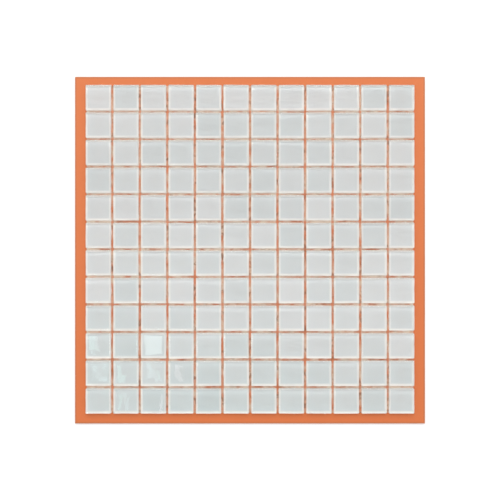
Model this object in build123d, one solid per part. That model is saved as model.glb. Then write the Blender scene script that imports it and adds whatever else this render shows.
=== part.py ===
from build123d import *
import os
import random

# Glass mosaic tile sheet: 144 clear glass tiles with a pale enamelled back, 12 by 12, fixed on a thin
# orange backing board that stands out past them as a border all round. The joints are open down to the
# board.
#
# Millimetres. +Z is up and the glass faces look up. +Y is the sheet's top as it is shown, +X its right.
# The origin is at the middle of the board's underside.

# ---- driving dimensions -------------------------------------------------
N = 12                # tiles each way
TILE = 22.8           # side of one glass tile, nominally 23
JOINT = 2.2           # open joint between tiles
PITCH = TILE + JOINT  # 25
TILE_T = 4.0          # thickness of the glass
EDGE_R = 0.6          # softened upper edge of a tile
CORNER_R = 0.65       # upright corner of a tile
FIELD = N * TILE + (N - 1) * JOINT  # 297.8, the usual sheet of nominal 300

BOARD_X = 318.0       # backing board
BOARD_Y = 315.0
BOARD_T = 2.0
BOARD_EDGE = 0.3      # its worn upper and lower edges
FIELD_DY = 0.7        # the tiles sit a little nearer the board's top edge

# hand-laid irregularity of the tiles
SHIFT = 0.20          # most a tile stands off its place
TURN = 0.45           # most it is turned, degrees
SEED = 41

Z_TILE = BOARD_T
Z_TOP = Z_TILE + TILE_T


def tile_places():
    """(row, column, x, y, turn) of each tile. Row 0 is the top row, column 0 the left one."""
    rng = random.Random(SEED)
    places = []
    for row in range(N):
        for col in range(N):
            dx = (rng.random() * 2 - 1) * SHIFT
            dy = (rng.random() * 2 - 1) * SHIFT
            turn = (rng.random() * 2 - 1) * TURN
            if col in (0, N - 1):  # the outer tiles were laid against a straight edge
                dx, turn = dx * 0.25, turn * 0.35
            if row in (0, N - 1):
                dy, turn = dy * 0.25, turn * 0.35
            x = (col - (N - 1) / 2) * PITCH + dx
            y = ((N - 1) / 2 - row) * PITCH + FIELD_DY + dy
            places.append((row, col, x, y, turn))
    return places


def one_tile():
    """One glass tile, its back at z = 0: upright corners rounded, upper edge softened all round."""
    body = Solid.make_box(TILE, TILE, TILE_T, Plane((-TILE / 2, -TILE / 2, 0)))
    body = body.fillet(CORNER_R, body.edges().filter_by(Axis.Z))
    return body.fillet(EDGE_R, body.faces().sort_by(Axis.Z)[-1].edges())


def board():
    """The backing board, with its long edges just broken."""
    body = Solid.make_box(BOARD_X, BOARD_Y, BOARD_T, Plane((-BOARD_X / 2, -BOARD_Y / 2, 0)))
    flat = [e for e in body.edges() if abs((e @ 0).Z - (e @ 1).Z) < 1e-6]
    return body.chamfer(BOARD_EDGE, None, flat)


os.makedirs("parts", exist_ok=True)

backing = board()
export_step(backing, "parts/backing_board.step")

tile = one_tile()
rows = {}
for row, col, x, y, turn in tile_places():
    rows.setdefault(row, []).append(Location((x, y, Z_TILE), (0, 0, turn)) * tile)
for row, tiles in rows.items():
    export_step(Compound(children=tiles), f"parts/tile_row_{row + 1:02d}.step")

print("board", round(backing.volume, 1), "mm3, valid", backing.is_valid)
print("tile", round(tile.volume, 1), "mm3, valid", tile.is_valid, "field", FIELD, "top", Z_TOP)
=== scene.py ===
import math
import random

import bpy
import numpy as np
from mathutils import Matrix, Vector


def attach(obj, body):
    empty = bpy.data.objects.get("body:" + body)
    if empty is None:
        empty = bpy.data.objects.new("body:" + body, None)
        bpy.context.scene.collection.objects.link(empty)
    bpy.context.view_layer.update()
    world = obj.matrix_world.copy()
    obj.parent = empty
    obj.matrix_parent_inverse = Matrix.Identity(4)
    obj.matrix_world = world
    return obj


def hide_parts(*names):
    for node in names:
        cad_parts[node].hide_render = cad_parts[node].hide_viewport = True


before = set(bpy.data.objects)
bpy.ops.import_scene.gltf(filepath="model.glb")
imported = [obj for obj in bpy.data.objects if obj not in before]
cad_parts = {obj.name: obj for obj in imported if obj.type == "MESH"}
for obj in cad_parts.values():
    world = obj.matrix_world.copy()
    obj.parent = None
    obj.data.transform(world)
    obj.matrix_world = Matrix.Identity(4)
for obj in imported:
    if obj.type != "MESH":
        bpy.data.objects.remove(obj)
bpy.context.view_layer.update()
scene = bpy.context.scene
MM = 0.001

# ---- the sheet's layout, as the frame has it (mm) ------------------------
N = 12
TILE = 22.8
PITCH = 25.0
TILE_T = 4.0
EDGE_R = 0.6
CORNER_R = 0.65
BOARD_T = 2.0
FIELD_DY = 0.7
SHIFT = 0.20
TURN = 0.45
SEED = 41


def tile_places():
    rng = random.Random(SEED)
    places = []
    for row in range(N):
        for col in range(N):
            dx = (rng.random() * 2 - 1) * SHIFT
            dy = (rng.random() * 2 - 1) * SHIFT
            turn = (rng.random() * 2 - 1) * TURN
            if col in (0, N - 1):
                dx, turn = dx * 0.25, turn * 0.35
            if row in (0, N - 1):
                dy, turn = dy * 0.25, turn * 0.35
            x = (col - (N - 1) / 2) * PITCH + dx
            y = ((N - 1) / 2 - row) * PITCH + FIELD_DY + dy
            places.append((row, col, x, y, turn))
    return places


# ---- glass tile mesh ------------------------------------------------------
GRID = 22       # squares across the flat of the top
ARC = 5         # steps over the softened edge
CORNER = 5      # steps round an upright corner
WALL = 3        # steps down the clear side
SKIRT = 0.75    # how far the enamel ran up the sides from the back
BED = 0.04      # adhesive film under the enamel, so that the two faces don't share a plane


def outline(half, radius, steps):
    """Points round a rounded square, counter-clockwise from the lower right corner's end: for each side its
    GRID + 1 points, then the corner's inner arc points."""
    c = half - radius
    flat = TILE / 2 - EDGE_R
    side = [(-flat + 2 * flat * i / GRID) / flat for i in range(GRID + 1)]
    points = []
    for k in range(4):
        angle = k * math.pi / 2
        ca, sa = round(math.cos(angle)), round(math.sin(angle))
        for s in side:  # side k: outward normal at angle k*90 degrees
            px, py = half, s * c
            points.append((px * ca - py * sa, px * sa + py * ca))
        for j in range(1, steps):
            a = j * math.pi / 2 / steps
            px, py = c + radius * math.cos(a), c + radius * math.sin(a)
            points.append((px * ca - py * sa, px * sa + py * ca))
    return points


def tile_mesh(rng, tilt, waves, crown):
    """Vertices (n, 3) in mm about the tile's own centre, its back at z = 0, faces, and each face's material."""
    flat = TILE / 2 - EDGE_R
    verts, faces, mats = [], [], []
    # the flat of the top
    for i in range(GRID + 1):
        for j in range(GRID + 1):
            verts.append((-flat + 2 * flat * i / GRID, -flat + 2 * flat * j / GRID, TILE_T))

    def at(i, j):
        return i * (GRID + 1) + j

    for i in range(GRID):
        for j in range(GRID):
            faces.append((at(i, j), at(i + 1, j), at(i + 1, j + 1), at(i, j + 1)))
            mats.append(0)
    # ring 0 along the flat's border, in the same order as outline()
    ring0 = []
    for k in range(4):
        side = []
        for s in range(GRID + 1):
            if k == 0:
                side.append(at(GRID, s))
            elif k == 1:
                side.append(at(GRID - s, GRID))
            elif k == 2:
                side.append(at(0, GRID - s))
            else:
                side.append(at(s, 0))
        ring0 += side
        ring0 += [side[-1]] * (CORNER - 1)
    rings = [ring0]
    heights = []
    for a in range(1, ARC + 1):
        t = a / ARC * math.pi / 2
        out = EDGE_R * math.sin(t)
        heights.append((flat + out, CORNER_R - EDGE_R + out, TILE_T - EDGE_R * (1 - math.cos(t))))
    bevel = 0.22
    for w in range(1, WALL + 1):
        z = (TILE_T - EDGE_R) + (SKIRT - (TILE_T - EDGE_R)) * w / WALL
        heights.append((TILE / 2, CORNER_R, z))
    skirt_ring = len(heights)
    heights.append((TILE / 2, CORNER_R, bevel))
    heights.append((TILE / 2 - 0.07, CORNER_R - 0.07, BED + 0.05))
    heights.append((TILE / 2 - bevel, CORNER_R - bevel, BED))
    uneven = [(m, rng.uniform(-0.05, 0.05), rng.uniform(0, 6.28)) for m in (2, 3, 5, 7, 9, 12)]
    for h, (half, radius, z) in enumerate(heights, start=1):
        start = len(verts)
        pts = outline(half, radius, CORNER)
        for i, (px, py) in enumerate(pts):
            rise = sum(a * math.sin(m * 2 * math.pi * i / len(pts) + ph) for m, a, ph in uneven) if h == skirt_ring else 0
            verts.append((px, py, z + rise))
        rings.append(list(range(start, start + len(pts))))
    for r, (inner, outer) in enumerate(zip(rings, rings[1:])):
        n = len(outer)
        for i in range(n):
            j = (i + 1) % n
            quad = [inner[i], outer[i], outer[j], inner[j]]
            quad = [v for m, v in enumerate(quad) if v not in quad[:m]]
            if len(quad) >= 3:
                faces.append(tuple(quad))
                mats.append(1 if r >= skirt_ring else 0)
    faces.append(tuple(reversed(rings[-1])))
    mats.append(2)
    v = np.array(verts, float)
    # the pressed glass isn't flat: it leans a little, crowns, and ripples
    x, y, z = v[:, 0], v[:, 1], v[:, 2]
    u, w = x / (TILE / 2), y / (TILE / 2)
    lift = tilt[0] * x + tilt[1] * y - crown * (u ** 8 + w ** 8) / 2
    for amp, kx, ky, phase in waves:
        lift = lift + amp * np.sin(kx * x + ky * y + phase)
    lift -= lift.max()
    held = np.clip((z - 1.0) / (TILE_T - EDGE_R - 1.0), 0, 1)
    v[:, 2] += lift * held
    # its sides wander a little, inside the full size
    angle = np.arctan2(y, x)
    rim = np.clip((np.maximum(abs(x), abs(y)) - (flat - 3)) / 3, 0, 1)
    wobble = -0.03
    for m in range(3, 8):
        wobble = wobble + rng.uniform(-0.045, 0.045) * np.sin(m * angle + rng.uniform(0, 6.28))
    size = np.maximum(np.hypot(x, y), 1e-6)
    v[:, 0] += x / size * wobble * rim
    v[:, 1] += y / size * wobble * rim
    return v, faces, mats


def bead_mesh(rng, first, row):
    """The adhesive that came up round one tile's foot, as a wavering closed fillet between glass and board: vertices
    in mm about the tile's centre and faces that count from first. It is wider along the tile's upper and lower
    sides, most of all in the upper rows."""
    steps = 24
    half, radius = TILE / 2, CORNER_R
    c = half - radius
    path = []
    for k in range(4):
        a0 = k * math.pi / 2
        ca, sa = round(math.cos(a0)), round(math.sin(a0))
        for i in range(steps + 1):
            px, py = half, -c + 2 * c * i / steps
            path.append((px * ca - py * sa, px * sa + py * ca, a0))
        for j in range(1, 5):
            a = j * math.pi / 2 / 5
            px, py = c + radius * math.cos(a), c + radius * math.sin(a)
            path.append((px * ca - py * sa, px * sa + py * ca, a0 + a))
    n = len(path)
    terms = [(m, rng.uniform(0.3, 1.0) / (1 + m * 0.06), rng.uniform(0, 6.28)) for m in range(2, 26)]
    blobs = [(rng.uniform(0, n), rng.uniform(1.2, 4.0), rng.uniform(0.15, 0.45)) for _ in range(rng.choice((1, 2, 2, 3)))]
    for middle in (n * 0.36, n * 0.86):  # long runs on the upper and the lower side
        if rng.random() < 0.75 - 0.04 * row:
            blobs.append((middle + rng.uniform(-9, 9), rng.uniform(4, 12), rng.uniform(0.15, 0.42)))
    verts, faces = [], []
    for i, (px, py, a) in enumerate(path):
        t = 2 * math.pi * i / n
        wave = sum(amp * math.sin(m * t + ph) for m, amp, ph in terms) / 4.2
        side = abs(math.sin(a))  # 1 on the upper and lower sides
        wide = (0.06 + (0.42 - 0.035 * row) * side) * (1 + 0.6 * wave)
        for at, spread, more in blobs:
            d = min(abs(i - at), n - abs(i - at))
            wide += more * math.exp(-((d / spread) ** 2))
        wide = min(max(wide, 0.04), 0.84)
        high = 0.22 + 0.8 * wide
        nx, ny = math.cos(a), math.sin(a)
        for out, z in ((-0.16, high), (0.22 * wide, 0.42 * high), (0.58 * wide, 0.14 * high), (wide, -0.02), (-0.16, -0.02)):
            verts.append((px + nx * (out - 0.03), py + ny * (out - 0.03), z))
    for i in range(n):
        j = (i + 1) % n
        for k in range(5):
            m = (k + 1) % 5
            faces.append((first + i * 5 + k, first + i * 5 + m, first + j * 5 + m, first + j * 5 + k))
    return np.array(verts, float), faces


rng = random.Random(7)
rows = {}
bead_verts, bead_faces = [], []
for row, col, x, y, turn in tile_places():
    calm = 0.5 if row >= 8 and col <= 4 else 1.0  # the flatter glass near the lower left, where it mirrors most
    tilt = (rng.gauss(0, 0.002) * calm, rng.gauss(0, 0.002) * calm)
    waves = []
    for _ in range(6):
        length = rng.uniform(7, 30)
        way = rng.uniform(0, math.pi)
        k = 2 * math.pi / length
        slope = rng.uniform(0.0008, 0.0026) * calm  # steepest slope of this ripple
        waves.append((slope / k, k * math.cos(way), k * math.sin(way), rng.uniform(0, 6.28)))
    crown = rng.uniform(0.03, 0.08) * calm ** 1.5
    v, faces, mats = tile_mesh(rng, tilt, waves, crown)
    c, s = math.cos(math.radians(turn)), math.sin(math.radians(turn))
    placed = np.empty_like(v)
    placed[:, 0] = (v[:, 0] * c - v[:, 1] * s + x) * MM
    placed[:, 1] = (v[:, 0] * s + v[:, 1] * c + y) * MM
    placed[:, 2] = (v[:, 2] + BOARD_T) * MM
    rows.setdefault(row, []).append((placed, faces, mats))
    b, bf = bead_mesh(rng, len(bead_verts), row)
    for bx, by, bz in b:
        bead_verts.append(((bx * c - by * s + x) * MM, (bx * s + by * c + y) * MM, (bz + BOARD_T) * MM))
    bead_faces += bf


# ---- materials ------------------------------------------------------------
class Nodes:
    """A short way to write node trees."""

    def __init__(self, name):
        self.mat = bpy.data.materials.new(name)
        self.mat.use_nodes = True
        self.tree = self.mat.node_tree
        self.tree.nodes.clear()
        self.out = self.add("ShaderNodeOutputMaterial")
        self.bsdf = self.add("ShaderNodeBsdfPrincipled")
        self.tree.links.new(self.bsdf.outputs[0], self.out.inputs["Surface"])
        self.coords = self.add("ShaderNodeTexCoord").outputs["Object"]

    def add(self, kind, **values):
        node = self.tree.nodes.new(kind)
        for k, val in values.items():
            setattr(node, k, val)
        return node

    def link(self, a, b):
        self.tree.links.new(a, b)

    def value(self, socket, x):
        if isinstance(x, bpy.types.NodeSocket):
            self.link(x, socket)
        elif x is not None:
            socket.default_value = x

    def math(self, op, a, b=None, c=None, clamp=False):
        n = self.add("ShaderNodeMath", operation=op, use_clamp=clamp)
        for i, x in enumerate((a, b, c)):
            self.value(n.inputs[i], x)
        return n.outputs[0]

    def vector(self, op, a, b=None):
        n = self.add("ShaderNodeVectorMath", operation=op)
        self.value(n.inputs[0], a)
        if b is not None:
            self.value(n.inputs[1], b)
        return n.outputs[0]

    def noise(self, scale, detail=2.0, rough=0.5, vector=None, distort=0.0):
        n = self.add("ShaderNodeTexNoise")
        self.link(vector or self.coords, n.inputs["Vector"])
        n.inputs["Scale"].default_value = scale
        n.inputs["Detail"].default_value = detail
        n.inputs["Roughness"].default_value = rough
        n.inputs["Distortion"].default_value = distort
        return n.outputs[0]

    def ramp(self, factor, stops, mode="LINEAR"):
        n = self.add("ShaderNodeValToRGB")
        n.color_ramp.interpolation = mode
        e = n.color_ramp.elements
        while len(e) < len(stops):
            e.new(0.5)
        for i, (at, colour) in enumerate(stops):
            e[i].position = at
            e[i].color = (*colour, 1) if len(colour) == 3 else colour
        self.link(factor, n.inputs[0])
        return n.outputs[0]

    def mix(self, factor, a, b, mode="MIX"):
        n = self.add("ShaderNodeMix", data_type="RGBA", blend_type=mode)
        self.value(n.inputs[0], factor)
        for socket, x in ((n.inputs[6], a), (n.inputs[7], b)):
            if isinstance(x, tuple) and len(x) == 3:
                x = (*x, 1)
            self.value(socket, x)
        return n.outputs[2]

    def bump(self, height, strength, distance):
        n = self.add("ShaderNodeBump")
        n.inputs["Strength"].default_value = strength
        n.inputs["Distance"].default_value = distance
        self.link(height, n.inputs["Height"])
        self.link(n.outputs[0], self.bsdf.inputs["Normal"])

    def set(self, **values):
        for k, val in values.items():
            self.value(self.bsdf.inputs[k.replace("_", " ")], val)


def linear(r, g, b):
    def one(c):
        c /= 255
        return c / 12.92 if c <= 0.04045 else ((c + 0.055) / 1.055) ** 2.4

    return one(r), one(g), one(b)


# clear pressed glass
glass = Nodes("mosaic_glass")
glass.set(Base_Color=(0.975, 0.992, 0.986, 1), IOR=1.5, Transmission_Weight=1.0, Roughness=0.022)
glass.bump(glass.noise(260, 2, 0.5), 0.015, 0.0001)

# pale enamel fired on the back of each tile; the whiter band along the tile's edges is painted light
enamel = Nodes("fired_enamel")
cells = enamel.vector("DIVIDE", enamel.vector("ADD", enamel.coords, (0.15, 0.1493, 0)), (0.025, 0.025, 1))
white = enamel.add("ShaderNodeTexWhiteNoise", noise_dimensions="3D")
enamel.link(enamel.vector("FLOOR", cells), white.inputs["Vector"])
hue = enamel.add("ShaderNodeSeparateColor")
enamel.link(white.outputs["Color"], hue.inputs[0])
tone = enamel.mix(white.outputs["Value"], (0.726, 0.749, 0.755), (0.769, 0.787, 0.794))
tone = enamel.mix(1.0, tone, enamel.mix(hue.outputs[0], (0.986, 1.0, 1.002), (1.010, 1.0, 0.999)), "MULTIPLY")
# the tiles are a little greener towards the sheet's lower left
where = enamel.add("ShaderNodeSeparateXYZ")
enamel.link(enamel.coords, where.inputs[0])
greener = enamel.add("ShaderNodeMapRange", interpolation_type="SMOOTHSTEP")
enamel.link(enamel.math("ADD", where.outputs["Y"], enamel.math("MULTIPLY", where.outputs["X"], 0.25)), greener.inputs["Value"])
for socket, x in (("From Min", -0.165), ("From Max", -0.045), ("To Min", 1.0), ("To Max", 0.0)):
    greener.inputs[socket].default_value = x
tone = enamel.mix(1.0, tone, enamel.mix(greener.outputs[0], (1.0, 1.0, 1.0), (0.950, 1.0, 0.998)), "MULTIPLY")
# painted reflection: the rows are a little lighter below the middle, as if a broad soft light were mirrored there,
# and darker above it
height = enamel.add("ShaderNodeMapRange")
enamel.link(where.outputs["Y"], height.inputs["Value"])
height.inputs["From Min"].default_value, height.inputs["From Max"].default_value = -0.15, 0.15
# painted reflection and shade across the rows
painted_row_reflection = enamel.ramp(height.outputs[0], [(t, (d, d, d)) for t, d in (
    (0.0, 0.965), (0.13, 0.972), (0.29, 0.990), (0.45, 0.978), (0.54, 0.962), (0.63, 0.932), (0.80, 0.926), (0.97, 0.942))])
tone = enamel.mix(1.0, tone, painted_row_reflection, "MULTIPLY")
cloud = enamel.mix(enamel.noise(55, 3, 0.6), (0.97, 0.975, 0.975), (1.02, 1.015, 1.015))
tone = enamel.mix(1.0, tone, cloud, "MULTIPLY")
within = enamel.add("ShaderNodeSeparateXYZ")
enamel.link(enamel.vector("FRACTION", cells), within.inputs[0])


def near_edge(distance, start, end, most):
    """most at the tile's edge, falling to 0 at end; distance is a share of the 25 mm cell, start and end are mm."""
    n = enamel.add("ShaderNodeMapRange", interpolation_type="SMOOTHSTEP")
    enamel.link(distance, n.inputs["Value"])
    for name, x in (("From Min", start / PITCH), ("From Max", end / PITCH), ("To Min", most), ("To Max", 0.0)):
        n.inputs[name].default_value = x
    return n.outputs[0]


fx, fy = within.outputs["X"], within.outputs["Y"]
# painted light: a whiter band along each tile's edges, widest along its lower edge, stands in for light caught at the
# glass's sides
left_right = near_edge(enamel.math("MINIMUM", fx, enamel.math("SUBTRACT", 1.0, fx)), 1.6, 3.5, 1.0)
low = near_edge(fy, 1.8, 4.1, 1.0)
high = near_edge(enamel.math("SUBTRACT", 1.0, fy), 1.8, 3.0, 1.0)
rim = enamel.math("MAXIMUM", enamel.math("MAXIMUM", left_right, low), high)
rim = enamel.math("MULTIPLY", rim, enamel.math("ADD", 0.72, enamel.math("MULTIPLY", enamel.noise(60, 2, 0.5), 0.5)), clamp=True)
# painted light, narrower and warmer over the tile's very edge: orange light from the joints painted into the enamel
edge = enamel.math("MAXIMUM", near_edge(enamel.math("MINIMUM", fx, enamel.math("SUBTRACT", 1.0, fx)), 1.25, 2.1, 1.0),
                   near_edge(enamel.math("MINIMUM", fy, enamel.math("SUBTRACT", 1.0, fy)), 1.25, 2.1, 1.0))
painted_rim_light_colour = enamel.mix(edge, (0.985, 0.958, 0.928), (0.995, 0.925, 0.862))
enamel.set(Base_Color=enamel.mix(rim, tone, painted_rim_light_colour), Roughness=0.55)

# orange board, with painted shade: a little darker towards its lower edge, where the light falls off
board = Nodes("orange_board")
place = board.add("ShaderNodeSeparateXYZ")
board.link(board.coords, place.inputs[0])
across = board.add("ShaderNodeMapRange")
board.link(place.outputs["Y"], across.inputs["Value"])
across.inputs["From Min"].default_value, across.inputs["From Max"].default_value = -0.16, 0.16
# painted shade: the base colour darkens from the upper edge to the lower edge
base = board.mix(across.outputs[0], (0.655, 0.1735, 0.058), (0.667, 0.195, 0.073))
base = board.mix(board.noise(9, 3, 0.55), base, board.mix(1.0, base, (0.95, 0.94, 0.93), "MULTIPLY"))
base = board.mix(board.math("MULTIPLY", board.noise(900, 3, 0.6), 0.22), base, (0.523, 0.1405, 0.0485))
# the board between the tiles: brown where adhesive soaked in, pale where it dried as a film
inside_x = board.math("LESS_THAN", board.math("ABSOLUTE", place.outputs["X"]), 0.1485)
inside_y = board.math("LESS_THAN", board.math("ABSOLUTE", board.math("SUBTRACT", place.outputs["Y"], FIELD_DY * MM)), 0.1485)
on_top = board.math("GREATER_THAN", place.outputs["Z"], (BOARD_T - 0.05) * MM)
inside = board.math("MULTIPLY", board.math("MULTIPLY", inside_x, inside_y), on_top)
column = board.math("FRACT", board.math("DIVIDE", board.math("ADD", place.outputs["X"], 0.15), 0.025))
upright = board.math("GREATER_THAN", board.math("ABSOLUTE", board.math("SUBTRACT", column, 0.5)), 0.455)
smear = board.ramp(board.noise(95, 3, 0.6), [(0.34, (0.15, 0.15, 0.15)), (0.66, (1.0, 1.0, 1.0))])
spread = board.math("SUBTRACT", 1.25, board.math("MULTIPLY", upright, 0.57))  # more of it along the level joints
line = board.math("FRACT", board.math("DIVIDE", board.math("ADD", place.outputs["Y"], 0.15 - FIELD_DY * MM), 0.025))
level = board.math("GREATER_THAN", board.math("ABSOLUTE", board.math("SUBTRACT", line, 0.5)), 0.455)
bare = board.math("SUBTRACT", 1.0, board.math("MULTIPLY", board.math("MULTIPLY", upright, level), 0.62))  # where joints cross
film = board.math("MULTIPLY", board.math("MULTIPLY", smear, inside), board.math("MULTIPLY", spread, bare), clamp=True)
soak = board.ramp(board.noise(170, 3, 0.6, distort=0.6), [(0.53, (0.0, 0.0, 0.0)), (0.67, (1.0, 1.0, 1.0))])
soaked = board.math("MULTIPLY", inside, board.math("ADD", 0.28, board.math("MULTIPLY", upright, 0.54)))
soaked = board.math("MULTIPLY", soaked, bare)
base = board.mix(film, base, board.mix(upright, (0.83, 0.68, 0.56), (0.68, 0.63, 0.52)))
base = board.mix(board.math("MULTIPLY", soak, soaked), base, (0.24, 0.095, 0.045))
# a little darker and less orange along its outer edge
far = board.math("MAXIMUM", board.math("SUBTRACT", board.math("ABSOLUTE", place.outputs["X"]), 0.159),
                 board.math("SUBTRACT", board.math("ABSOLUTE", place.outputs["Y"]), 0.1575))
edge_band = board.add("ShaderNodeMapRange", interpolation_type="SMOOTHSTEP")
board.link(far, edge_band.inputs["Value"])
for socket, x in (("From Min", -0.0020), ("From Max", -0.0008), ("To Min", 0.0), ("To Max", 1.0)):
    edge_band.inputs[socket].default_value = x
base = board.mix(1.0, base, board.mix(edge_band.outputs[0], (1.0, 1.0, 1.0), (0.80, 0.92, 1.0)), "MULTIPLY")
board.set(Base_Color=base, Roughness=0.62, Specular_IOR_Level=0.2)
board.bump(board.noise(1400, 2, 0.6), 0.25, 0.0001)

# milky adhesive
adhesive = Nodes("adhesive")
adhesive.set(Base_Color=adhesive.mix(adhesive.noise(160, 2, 0.5), (0.86, 0.68, 0.57), (0.92, 0.87, 0.82)), Roughness=0.45)

# ---- pieces ---------------------------------------------------------------
for row, tiles in sorted(rows.items()):
    verts, faces, mats = [], [], []
    for v, f, m in tiles:
        base_index = len(verts)
        verts += [tuple(p) for p in v]
        faces += [tuple(i + base_index for i in face) for face in f]
        mats += m
    name = f"glass_tiles_row_{row + 1:02d}"
    mesh = bpy.data.meshes.new(name)
    mesh.from_pydata(verts, [], faces)
    mesh.materials.append(glass.mat)
    mesh.materials.append(enamel.mat)
    mesh.polygons.foreach_set("material_index", [min(m, 1) for m in mats])
    mesh.polygons.foreach_set("use_smooth", [m < 2 for m in mats])
    mesh.update()
    mesh.validate()
    piece = bpy.data.objects.new(name, mesh)
    scene.collection.objects.link(piece)
    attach(piece, "root")
    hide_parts(f"tile_row_{row + 1:02d}")

mesh = bpy.data.meshes.new("adhesive_beads")
mesh.from_pydata(bead_verts, [], bead_faces)
mesh.materials.append(adhesive.mat)
mesh.polygons.foreach_set("use_smooth", [True] * len(bead_faces))
mesh.update()
mesh.validate()
beads = bpy.data.objects.new("adhesive_beads", mesh)
scene.collection.objects.link(beads)
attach(beads, "root")

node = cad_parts["backing_board"]
for slot in node.material_slots:
    slot.material = board.mat

# ---- stage ----------------------------------------------------------------
floor_mat = Nodes("floor")
floor_mat.set(Base_Color=(0.97, 0.97, 0.97, 1), Roughness=0.9, Specular_IOR_Level=0.1)
floor_mesh = bpy.data.meshes.new("floor")
floor_mesh.from_pydata([(-4, -4, 0), (4, -4, 0), (4, 4, 0), (-4, 4, 0)], [], [(0, 1, 2, 3)])
floor_mesh.materials.append(floor_mat.mat)
floor = bpy.data.objects.new("floor", floor_mesh)
scene.collection.objects.link(floor)
floor.location.z = -0.00005


def area(name, at, aim, size, watts, colour=(1, 1, 1)):
    lamp = bpy.data.lights.new(name, "AREA")
    lamp.shape = "RECTANGLE"
    lamp.size, lamp.size_y = size
    lamp.energy = watts
    lamp.color = colour
    ob = bpy.data.objects.new(name, lamp)
    scene.collection.objects.link(ob)
    ob.location = at
    ob.rotation_euler = (Vector(aim) - Vector(at)).to_track_quat("-Z", "Y").to_euler()
    ob.visible_camera = False
    return ob


world = bpy.data.worlds.new("studio")
world.use_nodes = True
world.node_tree.nodes["Background"].inputs[0].default_value = (1, 1, 1, 1)
world.node_tree.nodes["Background"].inputs[1].default_value = 0.945
scene.world = world
area("key", (0.05, 1.05, 1.45), (0, 0.05, 0), (1.3, 0.9), 12.9)

# small lamps that the glass near the lower left mirrors: tile row and column, the patch's middle and size on the
# tile in mm, its turn in degrees, its brightness and its colour
COOL = (0.72, 0.97, 1.0)
GREEN = (0.60, 1.0, 0.90)
PALE = (0.80, 1.0, 1.0)
WARM = (1.0, 0.88, 0.93)
GLINTS = [
    (9, 2, 0.0, 0.8, 15.5, 19.5, 0, 4.1, PALE),
    (9, 0, -4.2, 2.2, 6.6, 13.0, 4, 2.6, GREEN),
    (9, 0, 0.6, 1.6, 3.2, 12.0, 8, 2.5, PALE),
    (9, 0, -3.0, -7.4, 1.8, 6.8, 46, 2.8, COOL),
    (10, 0, 0.5, 0.0, 17.0, 19.0, 0, 1.0, COOL),
    (10, 0, -4.2, 4.4, 4.6, 8.5, 5, 1.7, COOL),
    (10, 0, 4.4, 6.6, 2.8, 6.5, -8, 1.6, COOL),
    (10, 0, 2.6, -7.2, 9.0, 4.0, 6, 1.8, COOL),
    (10, 0, -1.6, -3.4, 4.0, 7.0, -18, 1.3, COOL),
    (10, 1, -4.5, 0.2, 4.2, 17.5, 4, 2.6, GREEN),
    (10, 1, -8.0, -6.5, 2.0, 6.0, 0, 1.8, COOL),
    (10, 2, -4.0, 2.2, 5.2, 15.5, 3, 2.6, COOL),
    (10, 2, 1.6, -2.8, 4.0, 15.0, 17, 2.1, COOL),
    (10, 2, 5.8, -2.8, 2.0, 12.0, 14, 2.6, GREEN),
    (10, 3, -3.2, -0.6, 4.6, 17.0, 20, 2.1, WARM),
    (10, 3, 0.4, 5.2, 7.0, 3.2, -12, 1.5, WARM),
    (11, 1, -4.4, -1.5, 3.0, 15.0, -4, 2.2, GREEN),
    (11, 1, 0.3, 2.2, 3.0, 13.0, 12, 2.2, PALE),
    (11, 1, 4.6, -4.0, 2.8, 12.0, -10, 2.1, COOL),
    (11, 1, -8.0, 6.0, 1.8, 7.0, 0, 1.7, WARM),
    (11, 2, 8.0, -0.5, 3.2, 18.5, 0, 2.8, WARM),
]
EYE = Vector((0, -0.036, 1.003))
GLASS = (BOARD_T + TILE_T) * MM
for n, (row, col, du, dv, width, height, turn, bright, colour) in enumerate(GLINTS):
    px = ((col - (N - 1) / 2) * PITCH + du) * MM
    py = (((N - 1) / 2 - row) * PITCH + FIELD_DY + dv) * MM
    far = 1 + 0.002 * n  # each a little higher than the last, so that none hides another
    at = (px + (px - EYE.x) * far, py + (py - EYE.y) * far, GLASS + (EYE.z - GLASS) * far)
    size = ((1 + far) * width * MM, (1 + far) * height * MM)
    lamp = area(f"glint_{n + 1}", at, (at[0], at[1], 0), size, bright * math.pi * size[0] * size[1], colour)
    lamp.rotation_euler = (0, 0, math.radians(turn))

# ---- camera ---------------------------------------------------------------
cam_data = bpy.data.cameras.new("camera")
cam = bpy.data.objects.new("camera", cam_data)
scene.collection.objects.link(cam)
cam_data.lens = 79.3
cam_data.sensor_width = 36
cam.location = (0, -0.036, 1.003)
cam_data.shift_y = 0.0795
cam_data.clip_start = 0.01
cam.rotation_euler = (0, 0, 0)
scene.camera = cam

scene.view_settings.view_transform = "Standard"
scene.view_settings.look = "None"
scene.cycles.max_bounces = 24
scene.cycles.transmission_bounces = 16
scene.cycles.blur_glossy = 0.0
scene.cycles.use_denoising = True
